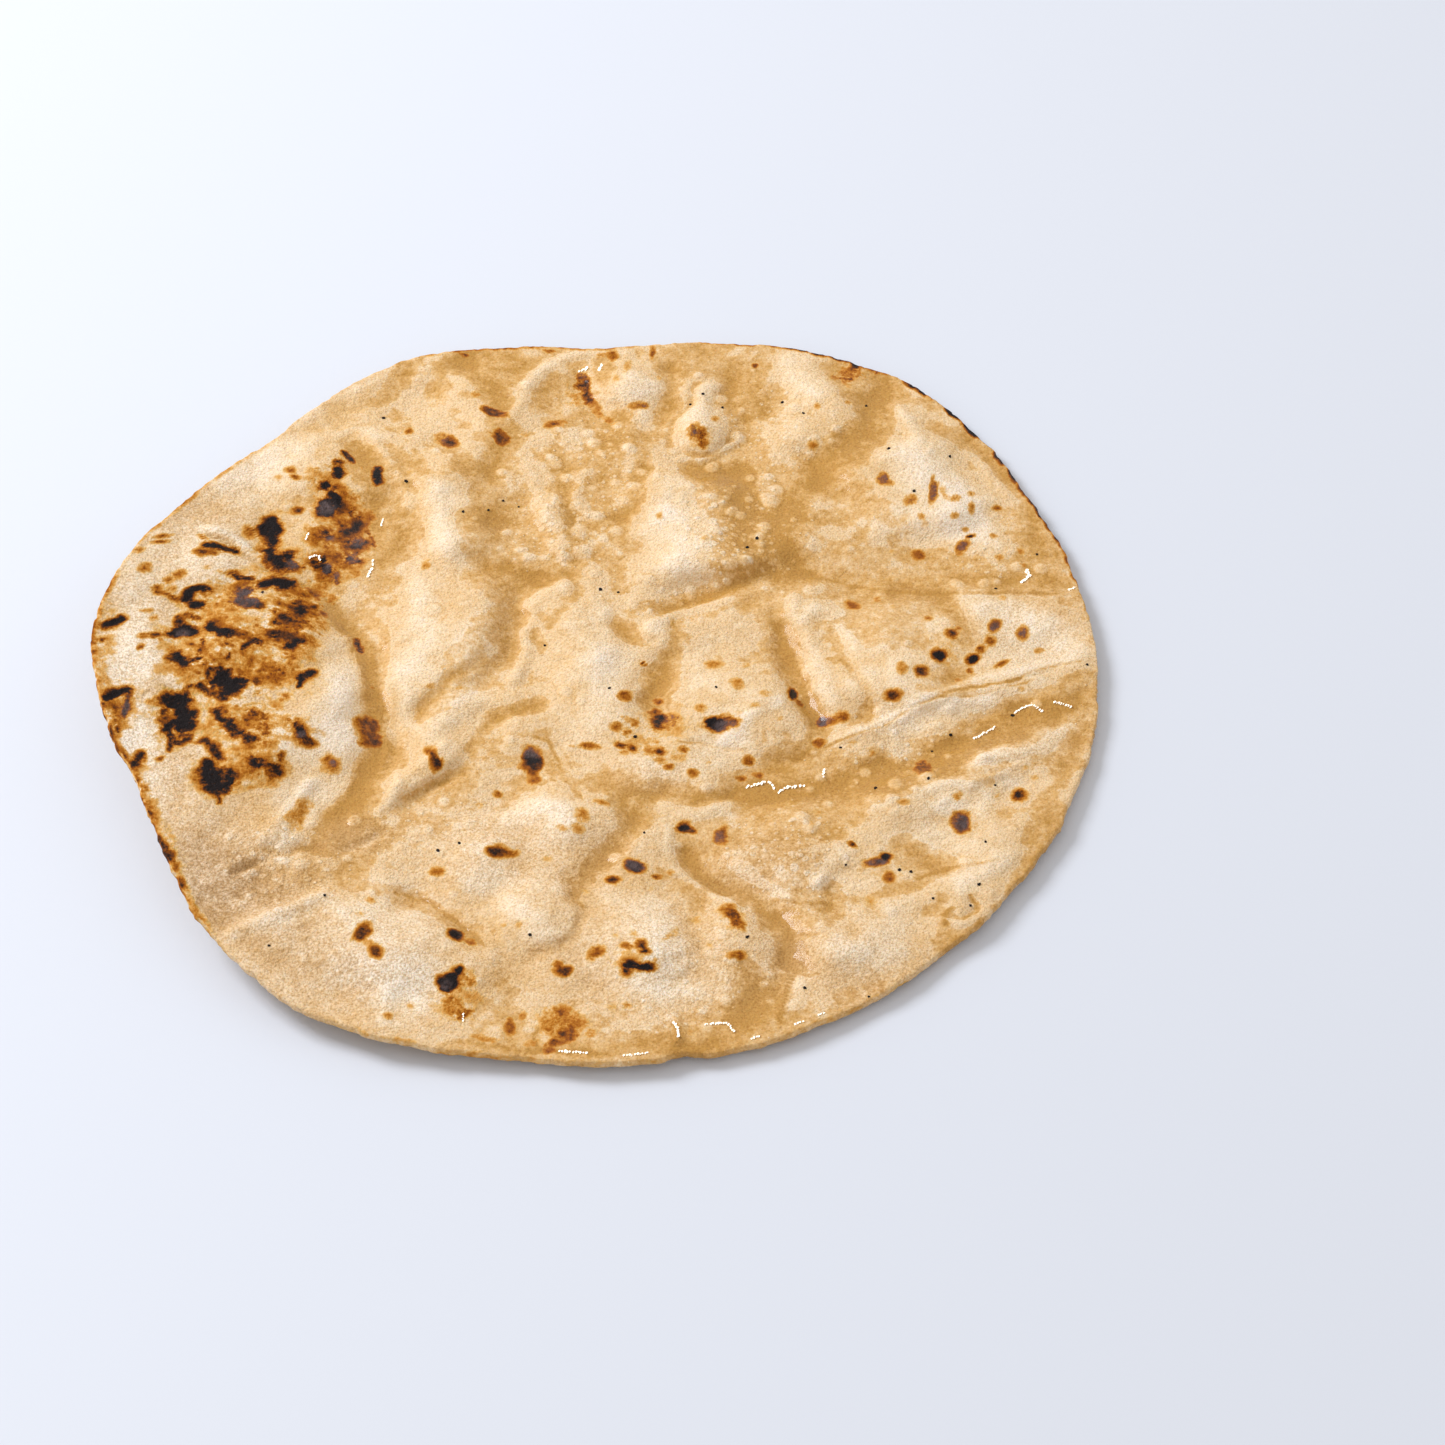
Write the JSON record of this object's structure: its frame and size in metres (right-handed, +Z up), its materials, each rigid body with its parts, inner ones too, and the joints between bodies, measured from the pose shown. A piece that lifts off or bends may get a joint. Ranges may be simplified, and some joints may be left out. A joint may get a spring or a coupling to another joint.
{
  "type": "chapati flatbread",
  "caption": "Thin round wheat flatbread with steam blisters, soft folds, scorched spots and an oiled top, one side curled up.",
  "frame": {"origin": "on the table, under the middle of the sheet's bounding box", "axes": "+Z up through the thickness, +X to the right and -Y to the front with the curled, scorched side at -X"},
  "size_m": [0.203, 0.2042, 0.0161],
  "materials": {
    "crust": "baked wheat dough, cream to golden with brown and black scorch marks, part floury and part glossy with oil"
  },
  "bodies": {
    "root": {"chapati": "crust"}
  },
  "joints": []
}
